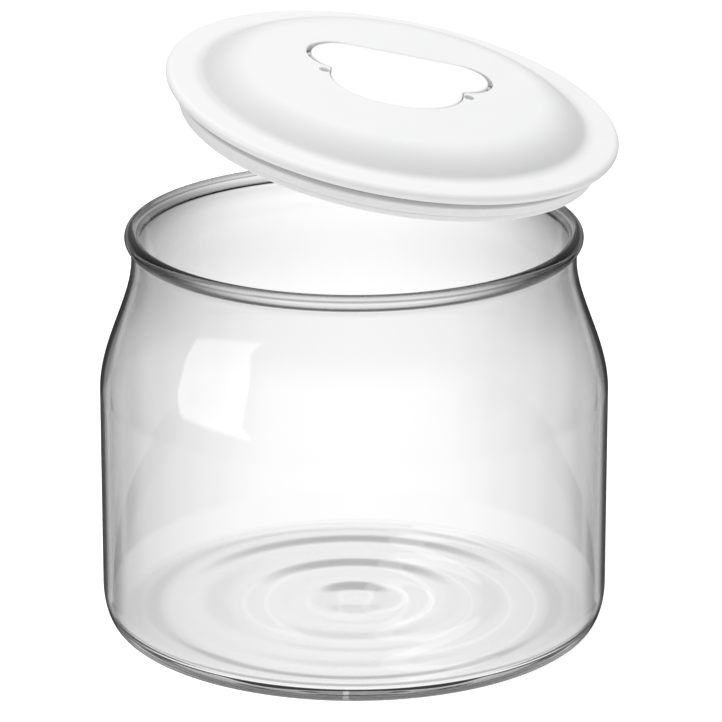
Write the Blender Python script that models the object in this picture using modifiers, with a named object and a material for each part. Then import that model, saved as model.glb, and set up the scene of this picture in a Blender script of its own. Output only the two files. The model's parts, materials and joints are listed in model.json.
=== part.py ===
"""Glass jar of a one-litre yogurt maker, with its lift-off lid and folding handle.

The origin is the middle of the jar's foot, +Z is up and the handle's flap faces -Y.
At rest the lid hangs over the mouth, leaning down to the front right. It swings down
about the lid_swing empty until it closes the jar level.
"""

import math

import bmesh
import bpy
from mathutils import Matrix, Vector

MM = 0.001
TURN_STEPS = 60
MERGE = 0.00005
PIECE_GAP = 0.3

# Jar, in millimetres. Radii are outer radii unless named otherwise.
BODY_RADIUS = 66.0
BODY_WALL = 2.5
NECK_RADIUS = 57.4
NECK_WALL = 2.0
NECK_HEIGHT = 97.9
SHOULDER_HEIGHT = 62.8
FOOT_CORNER_WIDTH = 3.9
FOOT_CORNER_HEIGHT = 9.8
FLOOR_THICKNESS = 3.2
FLOOR_CORNER_WIDTH = 7.5
FLOOR_CORNER_HEIGHT = 7.0
BEAD_RING_RADIUS = 57.25
BEAD_HALF_WIDTH = 1.85
BEAD_HALF_HEIGHT = 2.1
BEAD_HEIGHT = 103.75
FLOOR_WAVES = (
    (0.0, 0.72),
    (3.0, 0.75),
    (14.0, 0.37),
    (21.0, 0.46),
    (32.0, 0.1),
    (39.5, 0.2),
    (50.5, -0.14),
    (55.5, 0.0),
)

# Lid, in millimetres from the middle of the flange's thickness.
FLANGE_RADIUS = 58.4
FLANGE_HALF_THICKNESS = 1.5
LID_TOP = 6.8
SKIN = 2.0
PLATEAU_FOOT_RADIUS = 50.3
PLATEAU_FOOT_FILLET = 2.5
PLATEAU_SHOULDER_FILLET = 16.0
PLATEAU_SLOPE = math.radians(42)
SKIRT_RADIUS = 52.4
SKIRT_WALL = 2.0
SKIRT_BOTTOM = -5.9
HOLLOW_BEVEL_RUN = 2.8
HOLLOW_BEVEL_TOP = 0.2
PLATE_BOTTOM = -7.9
PLATE_RIM_THICKNESS = 1.7
PLATE_LIP_RADIUS = 53.8
PLATE_SPIGOT_WALL = 1.9
PLATE_SPIGOT_TOP = -2.6
PLATE_DISH_RADIUS = 45.0
PLATE_DISH_RISE = 1.4
PLATE_DISH_THICKNESS = 1.6
SEAL_TOP = -2.5
SEAL_BOTTOM = -5.95
SEAL_TOP_RIB_RADIUS = 55.1
SEAL_BOTTOM_RIB_RADIUS = 54.4
SEAL_RIB_COUNT = 2
SEAL_GROOVE_DEPTH = 0.5

# Handle, in millimetres on the lid. X runs from lobe to lobe and Y towards the back.
LOBE_RADIUS = 9.0
LOBE_CENTRE_X = 14.0
LOBE_CENTRE_Y = 8.9
HINGE_Y = 11.2
HINGE_BELOW_TOP = 2.5
FLAP_HALF_WIDTH = 16.7
FLAP_DEPTH = 14.6
FLAP_CENTRE_Y = -2.9
HANDLE_THICKNESS = 3.0
HANDLE_EDGE = 0.8
KNUCKLE_RADIUS = 2.3
KNUCKLE_INNER_X = 16.6
KNUCKLE_LENGTH = 5.2
PIN_RADIUS = 0.9
BORE_RADIUS = 1.2
PIN_INNER_X = 17.4
PIN_OUTER_X = 27.0
POCKET_GAP = 0.5
POCKET_END_GAP = 1.2
POCKET_FLOOR_GAP = 0.5
TRENCH_FRONT = 2.8
TRENCH_DEPTH = 7.3
TRENCH_INSET = 0.1
NOTCH_RADIUS = 1.6
NOTCH_X = 18.6
NOTCH_Y = -2.7
TUB_WALL = 2.0
TUB_END_WALL = 4.6
TUB_FLOOR = 1.4

# Where the lid sits and how it is carried, in millimetres and degrees.
LID_SEAT_HEIGHT = BEAD_HEIGHT + BEAD_HALF_HEIGHT + FLANGE_HALF_THICKNESS + PIECE_GAP
SWING_AXIS_REACH = 162.5
SWING_AXIS_HEIGHT = 68.5
LEAN_TOWARDS = math.radians(-30.7)
LEAN = math.radians(11.85)
HANDLE_TURN = math.radians(-3.5)

WHITE_PLASTIC = (0.92, 0.92, 0.92)
HANDLE_PLASTIC = (0.96, 0.96, 0.96)
SILICONE = (0.88, 0.88, 0.87)
CLEAR_GLASS = (0.97, 0.98, 0.98)
STEEL = (0.62, 0.62, 0.63)


def clear_scene():
    for thing in list(bpy.data.objects):
        bpy.data.objects.remove(thing, do_unlink=True)


def new_collection(name):
    collection = bpy.data.collections.new(name)
    bpy.context.scene.collection.children.link(collection)
    return collection


def principled(name, colour, roughness, metallic=0.0, transmission=0.0):
    material = bpy.data.materials.new(name)
    material.use_nodes = True
    shader = material.node_tree.nodes["Principled BSDF"]
    shader.inputs["Base Color"].default_value = (*colour, 1.0)
    shader.inputs["Roughness"].default_value = roughness
    shader.inputs["Metallic"].default_value = metallic
    shader.inputs["Transmission Weight"].default_value = transmission
    material.diffuse_color = (*colour, 1.0)
    return material


def arc(centre, radii, start_deg, end_deg, count):
    """Points of an elliptical arc, both ends included."""
    points = []
    for i in range(count):
        angle = math.radians(start_deg + (end_deg - start_deg) * i / (count - 1))
        points.append((centre[0] + radii[0] * math.cos(angle), centre[1] + radii[1] * math.sin(angle)))
    return points


def place(thing, collection, parent, location=(0.0, 0.0, 0.0)):
    """Links an object into a collection, at a location in millimetres under its parent."""
    collection.objects.link(thing)
    thing.parent = parent
    thing.location = Vector(location) * MM
    return thing


def turned(name, profile, collection, parent, material):
    """A solid of revolution. The profile holds (radius, height) and runs down the outer side."""
    closed = profile[0][0] > 0.0
    mesh = bpy.data.meshes.new(name)
    points = [(radius * MM, 0.0, height * MM) for radius, height in profile]
    edges = [(i, i + 1) for i in range(len(points) - 1)]
    if closed:
        edges.append((len(points) - 1, 0))
    mesh.from_pydata(points, edges, [])
    mesh.materials.append(material)
    thing = place(bpy.data.objects.new(name, mesh), collection, parent)
    screw = thing.modifiers.new("turn", "SCREW")
    screw.axis = "Z"
    screw.steps = TURN_STEPS
    screw.render_steps = TURN_STEPS
    screw.use_merge_vertices = True
    screw.merge_threshold = MERGE
    screw.use_smooth_shade = True
    return thing


def extruded(name, outline, bottom, top, collection, parent, material=None):
    """A flat outline, in millimetres, given a thickness from bottom to top."""
    curve = bpy.data.curves.new(name + "_outline", "CURVE")
    curve.dimensions = "2D"
    curve.fill_mode = "BOTH"
    curve.extrude = (top - bottom) / 2 * MM
    spline = curve.splines.new("POLY")
    spline.points.add(len(outline) - 1)
    for point, (x, y) in zip(spline.points, outline):
        point.co = (x * MM, y * MM, 0.0, 1.0)
    spline.use_cyclic_u = True
    guide = bpy.data.objects.new(name + "_outline", curve)
    collection.objects.link(guide)
    bpy.context.view_layer.update()
    graph = bpy.context.evaluated_depsgraph_get()
    mesh = bpy.data.meshes.new_from_object(guide.evaluated_get(graph))
    bpy.data.objects.remove(guide, do_unlink=True)
    bpy.data.curves.remove(curve)
    weld_and_lift(mesh, (top + bottom) / 2 * MM)
    mesh.name = name
    mesh.materials.clear()
    if material:
        mesh.materials.append(material)
    return place(bpy.data.objects.new(name, mesh), collection, parent)


def weld_and_lift(mesh, lift):
    work = bmesh.new()
    work.from_mesh(mesh)
    bmesh.ops.remove_doubles(work, verts=work.verts, dist=MERGE / 5)
    bmesh.ops.translate(work, verts=work.verts, vec=(0.0, 0.0, lift))
    bmesh.ops.dissolve_limit(work, angle_limit=math.radians(1), verts=work.verts, edges=work.edges)
    bmesh.ops.recalc_face_normals(work, faces=work.faces)
    work.to_mesh(mesh)
    work.free()


def rod_along_x(name, radius, inner_x, outer_x, collection, parent, location, material=None):
    """A round rod between two X positions, at a (y, z) location, all in millimetres."""
    mesh = bpy.data.meshes.new(name)
    work = bmesh.new()
    length = abs(outer_x - inner_x) * MM
    quarter_turn = Matrix.Rotation(math.radians(90), 4, "Y")
    bmesh.ops.create_cone(
        work,
        cap_ends=True,
        segments=24,
        radius1=radius * MM,
        radius2=radius * MM,
        depth=length,
        matrix=quarter_turn,
    )
    work.to_mesh(mesh)
    work.free()
    mesh.shade_smooth()
    mesh.set_sharp_from_angle(angle=math.radians(40))
    if material:
        mesh.materials.append(material)
    middle = ((inner_x + outer_x) / 2, *location)
    return place(bpy.data.objects.new(name, mesh), collection, parent, middle)


def combine(target, other, operation):
    boolean = target.modifiers.new(other.name, "BOOLEAN")
    boolean.operation = operation
    boolean.solver = "EXACT"
    boolean.object = other
    other.hide_render = True
    other.display_type = "WIRE"


def floor_height(radius):
    """Height of the jar's inner floor: a low dome in the middle, then soft waves."""
    for (start, before), (end, after) in zip(FLOOR_WAVES, FLOOR_WAVES[1:]):
        if start <= radius < end:
            share = (1 - math.cos(math.pi * (radius - start) / (end - start))) / 2
            return FLOOR_THICKNESS + before + (after - before) * share
    return FLOOR_THICKNESS


def shoulder(neck_radius, body_radius, count=9):
    """The soft S-curve between neck and body, from the neck down."""
    points = []
    for i in range(count):
        share = i / (count - 1)
        eased = share * share * (3 - 2 * share)
        radius = neck_radius + (body_radius - neck_radius) * eased
        points.append((radius, NECK_HEIGHT + (SHOULDER_HEIGHT - NECK_HEIGHT) * share))
    return points


def floor_corner(wall_radius, count=8):
    """The inner corner between floor and wall, which leaves both without a sudden bend."""
    points = []
    for i in range(count):
        share = i / (count - 1)
        radius = wall_radius - FLOOR_CORNER_WIDTH * (1 - share) ** 3
        points.append((radius, FLOOR_THICKNESS + FLOOR_CORNER_HEIGHT * share**3))
    return points


def jar_profile():
    inner_body = BODY_RADIUS - BODY_WALL
    inner_neck = NECK_RADIUS - NECK_WALL
    floor_radii = [0.0]
    for (start, _), (end, _) in zip(FLOOR_WAVES, FLOOR_WAVES[1:]):
        floor_radii += [(start + end) / 2, end]
    profile = [(radius, floor_height(radius)) for radius in floor_radii]
    profile += floor_corner(inner_body)
    profile += reversed(shoulder(inner_neck, inner_body))
    bead = (BEAD_RING_RADIUS, BEAD_HEIGHT)
    profile += arc(bead, (BEAD_HALF_WIDTH, BEAD_HALF_HEIGHT), 180, -75, 14)
    profile.append((NECK_RADIUS, BEAD_HEIGHT - BEAD_HALF_HEIGHT - 0.7))
    profile += shoulder(NECK_RADIUS, BODY_RADIUS)
    foot = (BODY_RADIUS - FOOT_CORNER_WIDTH, FOOT_CORNER_HEIGHT)
    profile += arc(foot, (FOOT_CORNER_WIDTH, FOOT_CORNER_HEIGHT), 0, -90, 8)
    profile.append((0.0, 0.0))
    return profile


def plateau_rise():
    """Radii and heights of the plateau's wall: a convex shoulder, then a concave foot."""
    rise = LID_TOP - FLANGE_HALF_THICKNESS
    fillets = PLATEAU_SHOULDER_FILLET + PLATEAU_FOOT_FILLET
    straight_height = rise - fillets * (1 - math.cos(PLATEAU_SLOPE))
    run = fillets * math.sin(PLATEAU_SLOPE) + straight_height / math.tan(PLATEAU_SLOPE)
    shoulder_centre = (PLATEAU_FOOT_RADIUS - run, LID_TOP - PLATEAU_SHOULDER_FILLET)
    foot_centre = (PLATEAU_FOOT_RADIUS, FLANGE_HALF_THICKNESS + PLATEAU_FOOT_FILLET)
    return shoulder_centre, foot_centre


def cover_profile():
    shoulder_centre, foot_centre = plateau_rise()
    slope = math.degrees(PLATEAU_SLOPE)
    outer = PLATEAU_SHOULDER_FILLET
    inner = PLATEAU_SHOULDER_FILLET - SKIN
    skirt_inner = SKIRT_RADIUS - SKIRT_WALL
    edge = FLANGE_RADIUS - FLANGE_HALF_THICKNESS
    half = FLANGE_HALF_THICKNESS
    profile = [(0.0, LID_TOP)]
    profile += arc(shoulder_centre, (outer, outer), 90, 90 - slope, 6)
    profile += arc(foot_centre, (PLATEAU_FOOT_FILLET, PLATEAU_FOOT_FILLET), 270 - slope, 270, 4)
    profile += arc((edge, 0.0), (half, half), 90, -90, 7)
    profile += [(SKIRT_RADIUS, -half), (SKIRT_RADIUS, SKIRT_BOTTOM), (skirt_inner, SKIRT_BOTTOM)]
    profile += [(skirt_inner, -half), (skirt_inner - HOLLOW_BEVEL_RUN, HOLLOW_BEVEL_TOP)]
    profile += arc(shoulder_centre, (inner, inner), 90 - slope, 90, 4)
    profile.append((0.0, LID_TOP - SKIN))
    return profile


def plate_profile():
    spigot_outer = SKIRT_RADIUS - SKIRT_WALL - PIECE_GAP
    spigot_inner = spigot_outer - PLATE_SPIGOT_WALL
    rim_top = PLATE_BOTTOM + PLATE_RIM_THICKNESS
    dish_bottom = PLATE_BOTTOM + PLATE_DISH_RISE
    dish_top = dish_bottom + PLATE_DISH_THICKNESS
    return [
        (0.0, dish_top),
        (PLATE_DISH_RADIUS, dish_top),
        (PLATE_DISH_RADIUS + PLATE_DISH_RISE, rim_top),
        (spigot_inner, rim_top),
        (spigot_inner, PLATE_SPIGOT_TOP),
        (spigot_outer, PLATE_SPIGOT_TOP),
        (spigot_outer, rim_top),
        (PLATE_LIP_RADIUS - 0.2, rim_top),
        (PLATE_LIP_RADIUS, rim_top - 0.4),
        (PLATE_LIP_RADIUS, PLATE_BOTTOM + 0.6),
        (PLATE_LIP_RADIUS - 0.5, PLATE_BOTTOM),
        (PLATE_DISH_RADIUS + PLATE_DISH_RISE, PLATE_BOTTOM),
        (PLATE_DISH_RADIUS, dish_bottom),
        (0.0, dish_bottom),
    ]


def seal_profile():
    """A flat inner band with round ribs outside, each a little narrower than the one above."""
    inner = SKIRT_RADIUS + PIECE_GAP
    pitch = (SEAL_TOP - SEAL_BOTTOM) / SEAL_RIB_COUNT
    profile = [(inner, SEAL_TOP)]
    for i in range(SEAL_RIB_COUNT):
        share = i / (SEAL_RIB_COUNT - 1)
        crest = SEAL_TOP_RIB_RADIUS + (SEAL_BOTTOM_RIB_RADIUS - SEAL_TOP_RIB_RADIUS) * share
        top = SEAL_TOP - pitch * i
        profile += [
            (crest - SEAL_GROOVE_DEPTH, top - 0.1 * pitch),
            (crest, top - 0.4 * pitch),
            (crest, top - 0.6 * pitch),
            (crest - SEAL_GROOVE_DEPTH, top - 0.9 * pitch),
        ]
    profile.append((inner, SEAL_BOTTOM))
    return profile


def mirrored(points):
    """The same points on the other side of the Y axis, in reverse order."""
    return [(-x, y) for x, y in reversed(points)]


def handle_outline(grow=0.0, stretch=0.0):
    """Plan of the handle: two round lobes on a straight back edge, and a D-shaped flap in front.

    grow moves every edge outwards, and stretch moves the lobes' ends further out along X.
    """
    lobe = LOBE_RADIUS + grow
    side = FLAP_HALF_WIDTH + grow
    centre_x = LOBE_CENTRE_X + stretch
    inward = math.degrees(math.acos((side - centre_x) / lobe))
    right = arc((centre_x, LOBE_CENTRE_Y), (lobe, lobe), 90, -inward, 14)
    flap = arc((0.0, FLAP_CENTRE_Y), (side, FLAP_DEPTH + grow), 0, -180, 21)
    return right + flap + mirrored(right)


def back_strip_outline(grow, stretch, front):
    """Plan of the lobes and the back edge, cut off along a line in front of the hinge."""
    lobe = LOBE_RADIUS + grow
    centre_x = LOBE_CENTRE_X + stretch
    cut_off = math.degrees(math.asin((HINGE_Y - front - LOBE_CENTRE_Y) / lobe))
    right = arc((centre_x, LOBE_CENTRE_Y), (lobe, lobe), 90, cut_off, 9)
    return right + mirrored(right)


def make_cover(parts, cutters, lid, material):
    cover = turned("lid_cover", cover_profile(), parts, lid, material)
    hinge_z = LID_TOP - HINGE_BELOW_TOP
    pocket_floor = LID_TOP - HANDLE_THICKNESS - POCKET_FLOOR_GAP
    trench_floor = hinge_z - TRENCH_DEPTH
    buried = LID_TOP - SKIN / 2
    above = LID_TOP + 5.0
    end_shift = POCKET_END_GAP - POCKET_GAP
    tub_grow = POCKET_GAP + TUB_WALL
    tub_shift = end_shift + TUB_END_WALL - TUB_WALL
    tub_plan = handle_outline(tub_grow, tub_shift)
    tub = extruded("pocket_tub", tub_plan, pocket_floor - TUB_FLOOR, buried, cutters, lid)
    block_plan = back_strip_outline(tub_grow - TRENCH_INSET, tub_shift, TRENCH_FRONT + TUB_WALL)
    block = extruded("trench_tub", block_plan, trench_floor - TUB_FLOOR, buried - 0.4, cutters, lid)
    pocket_plan = handle_outline(POCKET_GAP, end_shift)
    pocket = extruded("pocket_cut", pocket_plan, pocket_floor, above, cutters, lid)
    trench_plan = back_strip_outline(POCKET_GAP - TRENCH_INSET, end_shift, TRENCH_FRONT)
    trench = extruded("trench_cut", trench_plan, trench_floor, pocket_floor + 1.0, cutters, lid)
    combine(cover, tub, "UNION")
    combine(cover, block, "UNION")
    combine(cover, pocket, "DIFFERENCE")
    combine(cover, trench, "DIFFERENCE")
    for side, sign in (("left", -1.0), ("right", 1.0)):
        notch_outline = arc((sign * NOTCH_X, NOTCH_Y), (NOTCH_RADIUS, NOTCH_RADIUS), 0, 345, 24)
        notch = extruded(f"notch_{side}", notch_outline, pocket_floor + 0.4, above, cutters, lid)
        combine(cover, notch, "DIFFERENCE")
        bore = rod_along_x(
            f"socket_{side}",
            BORE_RADIUS,
            sign * (LOBE_CENTRE_X + LOBE_RADIUS - 1.0),
            sign * (PIN_OUTER_X + PIECE_GAP),
            cutters,
            lid,
            (HINGE_Y, hinge_z),
        )
        combine(cover, bore, "DIFFERENCE")
    return cover


def make_handle(parts, cutters, hinge, material):
    """The handle's own origin is on its hinge axis, so its plan is shifted back by HINGE_Y."""
    outline = [(x, y - HINGE_Y) for x, y in handle_outline()]
    top = HINGE_BELOW_TOP
    handle = extruded("fold_handle", outline, top - HANDLE_THICKNESS, top, parts, hinge, material)
    rounding = handle.modifiers.new("edges", "BEVEL")
    rounding.width = HANDLE_EDGE * MM
    rounding.segments = 2
    rounding.limit_method = "ANGLE"
    rounding.angle_limit = math.radians(50)
    for side, sign in (("left", -1.0), ("right", 1.0)):
        knuckle_end = KNUCKLE_INNER_X + KNUCKLE_LENGTH
        knuckle = rod_along_x(
            f"knuckle_{side}",
            KNUCKLE_RADIUS,
            sign * KNUCKLE_INNER_X,
            sign * knuckle_end,
            cutters,
            hinge,
            (0, 0),
        )
        combine(handle, knuckle, "UNION")
        bore = rod_along_x(
            f"bore_{side}",
            BORE_RADIUS,
            sign * (PIN_INNER_X - PIECE_GAP),
            sign * (LOBE_CENTRE_X + LOBE_RADIUS + 2.0),
            cutters,
            hinge,
            (0, 0),
        )
        combine(handle, bore, "DIFFERENCE")
    handle.data.shade_smooth()
    handle.data.set_sharp_from_angle(angle=math.radians(35))
    return handle


def make_frames(parts):
    """Empties that carry the lid: the swing axis, the lid's middle under it, and the handle's hinge."""
    out = Vector((math.cos(LEAN_TOWARDS), math.sin(LEAN_TOWARDS), 0.0))
    swing_axis = Vector((-out.y, out.x, 0.0))
    swing_place = out * SWING_AXIS_REACH + Vector((0.0, 0.0, SWING_AXIS_HEIGHT))
    seat = Vector((0.0, 0.0, LID_SEAT_HEIGHT))
    turn = Matrix.Rotation(HANDLE_TURN, 4, "Z")
    lean = Matrix.Rotation(LEAN, 4, swing_axis)
    swing = bpy.data.objects.new("lid_swing", None)
    parts.objects.link(swing)
    swing.matrix_world = Matrix.Translation(swing_place * MM) @ lean @ turn
    lid = bpy.data.objects.new("lid_middle", None)
    place(lid, parts, swing, turn.inverted() @ (seat - swing_place))
    hinge = bpy.data.objects.new("handle_hinge", None)
    place(hinge, parts, lid, (0.0, HINGE_Y, LID_TOP - HINGE_BELOW_TOP))
    bpy.context.view_layer.update()
    return lid, hinge


def main():
    clear_scene()
    parts = new_collection("yogurt_maker_jar")
    cutters = new_collection("cutters")
    glass = principled("clear_glass", CLEAR_GLASS, 0.02, transmission=1.0)
    plastic = principled("white_plastic", WHITE_PLASTIC, 0.28)
    handle_plastic = principled("handle_plastic", HANDLE_PLASTIC, 0.3)
    silicone = principled("silicone", SILICONE, 0.45)
    steel = principled("pin_steel", STEEL, 0.3, metallic=1.0)
    lid, hinge = make_frames(parts)
    turned("glass_jar", jar_profile(), parts, None, glass)
    make_cover(parts, cutters, lid, plastic)
    turned("lid_inner_plate", plate_profile(), parts, lid, plastic)
    turned("seal_ring", seal_profile(), parts, lid, silicone)
    make_handle(parts, cutters, hinge, handle_plastic)
    hinge_place = (HINGE_Y, LID_TOP - HINGE_BELOW_TOP)
    rod_along_x("hinge_pin_left", PIN_RADIUS, -PIN_INNER_X, -PIN_OUTER_X, parts, lid, hinge_place, steel)
    rod_along_x("hinge_pin_right", PIN_RADIUS, PIN_INNER_X, PIN_OUTER_X, parts, lid, hinge_place, steel)


main()
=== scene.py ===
"""Yogurt maker jar and lid: the visible pieces, their materials and a plain white studio."""

import json
import math

import bmesh
import bpy
from mathutils import Matrix, Vector


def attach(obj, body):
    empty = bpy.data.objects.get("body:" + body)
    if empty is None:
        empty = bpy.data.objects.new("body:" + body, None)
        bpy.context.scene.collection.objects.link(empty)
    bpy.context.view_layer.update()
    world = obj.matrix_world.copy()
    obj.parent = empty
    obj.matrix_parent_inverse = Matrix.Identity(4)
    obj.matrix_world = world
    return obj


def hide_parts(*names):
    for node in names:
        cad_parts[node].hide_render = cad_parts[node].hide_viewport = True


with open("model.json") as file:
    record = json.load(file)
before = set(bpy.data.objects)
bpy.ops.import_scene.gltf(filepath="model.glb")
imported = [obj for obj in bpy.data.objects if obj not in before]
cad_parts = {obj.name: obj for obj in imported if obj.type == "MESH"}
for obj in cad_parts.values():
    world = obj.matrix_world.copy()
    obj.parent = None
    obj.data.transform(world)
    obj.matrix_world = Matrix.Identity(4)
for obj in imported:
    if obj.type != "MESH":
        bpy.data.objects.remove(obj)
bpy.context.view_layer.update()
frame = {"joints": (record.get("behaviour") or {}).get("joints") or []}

MM = 0.001
TINY = 1e-6

# Jar, in millimetres.
BODY_RADIUS = 66.0
BODY_WALL = 2.5
NECK_RADIUS = 57.4
NECK_WALL = 2.0
NECK_HEIGHT = 97.9
SHOULDER_HEIGHT = 62.8
FOOT_CORNER = (3.9, 9.8)
FLOOR_THICKNESS = 3.2
FLOOR_CORNER_WIDTH = 7.5
FLOOR_CORNER_HEIGHT = 7.0
FLOOR_STEP = 0.5
CORNER_STEPS = 40
# The soft waves of the inner floor, as (radius, height over the plain floor).
FLOOR_WAVES = (
    (0.0, 0.72), (3.0, 0.75), (14.0, 0.37), (21.0, 0.46),
    (32.0, 0.1), (39.5, 0.2), (50.5, -0.14), (55.5, 0.0),
)
BEAD_RADIUS = 57.25
BEAD_HALF_WIDTH = 1.85
BEAD_HALF_HEIGHT = 2.1
BEAD_HEIGHT = 103.75
BEAD_END_ANGLE = -78
BEAD_BLEND_DROP = 0.2
# Short straight runs beside a rounding, which keep the wall's shading even.
WALL_RUN = 2.0
NECK_RUN = 1.0
BEAD_RUN = 0.6
JAR_SEGMENTS = 320

# Lid, in millimetres from the middle of the flange's thickness.
FLANGE_RADIUS = 58.4
FLANGE_HALF = 1.5
CLOSED_GAP = 0.3
LID_SEAT = BEAD_HEIGHT + BEAD_HALF_HEIGHT + FLANGE_HALF + CLOSED_GAP
LID_TOP = 6.8
SKIN = 2.0
HOLLOW_EDGE_INSET = 2.8
HOLLOW_EDGE_HEIGHT = 0.2
PLATEAU_RUN = 1.0
FLANGE_RUN = 0.8
PLATEAU_FOOT_RADIUS = 50.3
PLATEAU_FOOT_FILLET = 2.5
PLATEAU_SHOULDER_FILLET = 16.0
PLATEAU_SLOPE = 42.0
SKIRT_RADIUS = 52.4
SKIRT_WALL = 2.0
SKIRT_BOTTOM = -5.9
SKIRT_FILLET = 0.3
FIT_GAP = 0.3
SPIGOT_WALL = 1.9
SPIGOT_TOP = -2.6
PLATE_BOTTOM = -7.9
PLATE_RIM_THICKNESS = 1.7
PLATE_ROUND = 0.5
PLATE_LIP_RADIUS = 53.8
PLATE_LIP_ROUND = 0.6
PLATE_DISH_RADIUS = 45.0
PLATE_DISH_RISE = 1.4
PLATE_DISH_THICKNESS = 1.6
PLATE_RUN = 1.0
SEAL_TOP = -2.5
SEAL_BOTTOM = -5.95
SEAL_TOP_RIB = 55.2
SEAL_BOTTOM_RIB = 54.6
SEAL_RIBS = 2
SEAL_GROOVE = 0.12
SEAL_STEPS = 16
LID_SEGMENTS = 256

# Handle, in millimetres on the lid. X runs from lobe to lobe and Y towards the back.
LOBE_RADIUS = 9.0
LOBE_X = 14.0
LOBE_Y = 8.9
HINGE_Y = 11.2
HINGE_BELOW_TOP = 2.5
FLAP_HALF_WIDTH = 16.7
FLAP_DEPTH = 14.6
FLAP_Y = -2.9
HANDLE_THICKNESS = 3.0
HANDLE_GROWTH = 0.2
HANDLE_END_SHIFT = -0.2
HANDLE_TOP_ROUND = 0.5
HANDLE_BOTTOM_ROUND = 0.6
HANDLE_FACE_INSET = 0.4
KNUCKLE_RADIUS = 2.3
KNUCKLE_INNER_X = 16.6
KNUCKLE_OUTER_X = 21.8
PIN_RADIUS = 0.9
PIN_CHAMFER = 0.2
PIN_HOLE_RADIUS = 1.2
PIN_END_GAP = 0.3
PIN_INNER_X = 17.4
PIN_OUTER_X = 27.0
POCKET_GAP = 0.5
POCKET_END_SHIFT = 0.7
POCKET_FLOOR = LID_TOP - HANDLE_THICKNESS - POCKET_GAP
TRENCH_FRONT = 2.8
TRENCH_STEP = 0.1
TRENCH_DEPTH = 7.3
TRENCH_FLOOR = LID_TOP - HINGE_BELOW_TOP - TRENCH_DEPTH
TUB_WALL = 2.0
TUB_END_WALL = 2.6
TUB_FLOOR = 1.4
BLOCK_DROP = 0.4
OVERCUT = 1.0
NOTCH_RADIUS = 1.35
NOTCH_X = 18.6
NOTCH_Y = -2.7
NOTCH_FLOOR = POCKET_FLOOR + 0.4
NOTCH_ROUND = 0.3
OUTLINE_STEP = 0.35


# ---------------------------------------------------------------- geometry helpers

def joint(name):
    return next(j for j in frame["joints"] if j["name"] == name)


def lid_matrix():
    """The lid's own frame at rest: closed level on the jar, then swung back up about its joint."""
    swing = joint("lid_swing")
    pivot = Vector(swing["pos_m"])
    lift = Matrix.Rotation(math.radians(-swing["range_deg"][0]), 4, Vector(swing["axis"]))
    hinge = Vector(joint("handle_fold")["axis"])
    level_hinge = lift.to_3x3().inverted() @ hinge
    turn = Matrix.Rotation(math.atan2(-level_hinge.y, -level_hinge.x), 4, "Z")
    seat = Matrix.Translation((0.0, 0.0, LID_SEAT * MM))
    return Matrix.Translation(pivot) @ lift @ Matrix.Translation(-pivot) @ seat @ turn


LID = lid_matrix()


def arc(centre, radii, start, end, count):
    points = []
    for i in range(count):
        a = math.radians(start + (end - start) * i / (count - 1))
        points.append((centre[0] + radii[0] * math.cos(a), centre[1] + radii[1] * math.sin(a)))
    return points


def line(a, b, count):
    """Points from a towards b, without the last."""
    return [(a[0] + (b[0] - a[0]) * i / count, a[1] + (b[1] - a[1]) * i / count) for i in range(count)]


def new_mesh_object(name, vertices, faces, matrix=None):
    mesh = bpy.data.meshes.new(name)
    mesh.from_pydata([Vector(v) * MM for v in vertices], [], faces)
    mesh.update()
    made = bpy.data.objects.new(name, mesh)
    bpy.context.scene.collection.objects.link(made)
    made.matrix_world = matrix or Matrix.Identity(4)
    return made


def lathe(name, profile, segments, matrix=None, sharp=None):
    """A solid of revolution about Z. The profile runs down the outer side."""
    vertices, rings = [], []
    for radius, height in profile:
        if radius < TINY:
            rings.append([len(vertices)])
            vertices.append((0.0, 0.0, height))
            continue
        rings.append(list(range(len(vertices), len(vertices) + segments)))
        for k in range(segments):
            a = 2 * math.pi * k / segments
            vertices.append((radius * math.cos(a), radius * math.sin(a), height))
    faces = []
    pairs = list(zip(rings, rings[1:]))
    if profile[0][0] > TINY:
        pairs.append((rings[-1], rings[0]))
    for upper, lower in pairs:
        for k in range(segments):
            n = (k + 1) % segments
            if len(upper) == 1:
                faces.append((upper[0], lower[k], lower[n]))
            elif len(lower) == 1:
                faces.append((upper[k], lower[0], upper[n]))
            else:
                faces.append((upper[k], lower[k], lower[n], upper[n]))
    made = new_mesh_object(name, vertices, faces, matrix)
    made.data.shade_smooth()
    if sharp:
        made.data.set_sharp_from_angle(angle=math.radians(sharp))
    return made


def loft(name, rings, matrix=None):
    """A closed solid through stacked rings of equal length, (outline, height) from the bottom up."""
    count = len(rings[0][0])
    vertices = [(x, y, z) for outline, z in rings for x, y in outline]
    faces = [tuple(reversed(range(count)))]
    for r in range(len(rings) - 1):
        for k in range(count):
            n = (k + 1) % count
            faces.append((r * count + k, r * count + n, (r + 1) * count + n, (r + 1) * count + k))
    faces.append(tuple(range((len(rings) - 1) * count, len(rings) * count)))
    made = new_mesh_object(name, vertices, faces, matrix)
    fix_normals(made)
    return made


def fix_normals(made):
    work = bmesh.new()
    work.from_mesh(made.data)
    bmesh.ops.recalc_face_normals(work, faces=work.faces)
    work.to_mesh(made.data)
    work.free()


def apply_boolean(target, other, operation):
    change = target.modifiers.new("cut", "BOOLEAN")
    change.operation = operation
    change.solver = "EXACT"
    change.object = other
    bpy.context.view_layer.update()
    graph = bpy.context.evaluated_depsgraph_get()
    mesh = bpy.data.meshes.new_from_object(target.evaluated_get(graph))
    target.modifiers.clear()
    old, target.data = target.data, mesh
    bpy.data.meshes.remove(old)
    bpy.data.objects.remove(other, do_unlink=True)


def weight_normals(made, sharp):
    made.data.shade_smooth()
    made.data.set_sharp_from_angle(angle=math.radians(sharp))
    flat = made.modifiers.new("flat_faces_first", "WEIGHTED_NORMAL")
    flat.mode = "FACE_AREA"
    flat.weight = 100
    flat.keep_sharp = True


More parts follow.
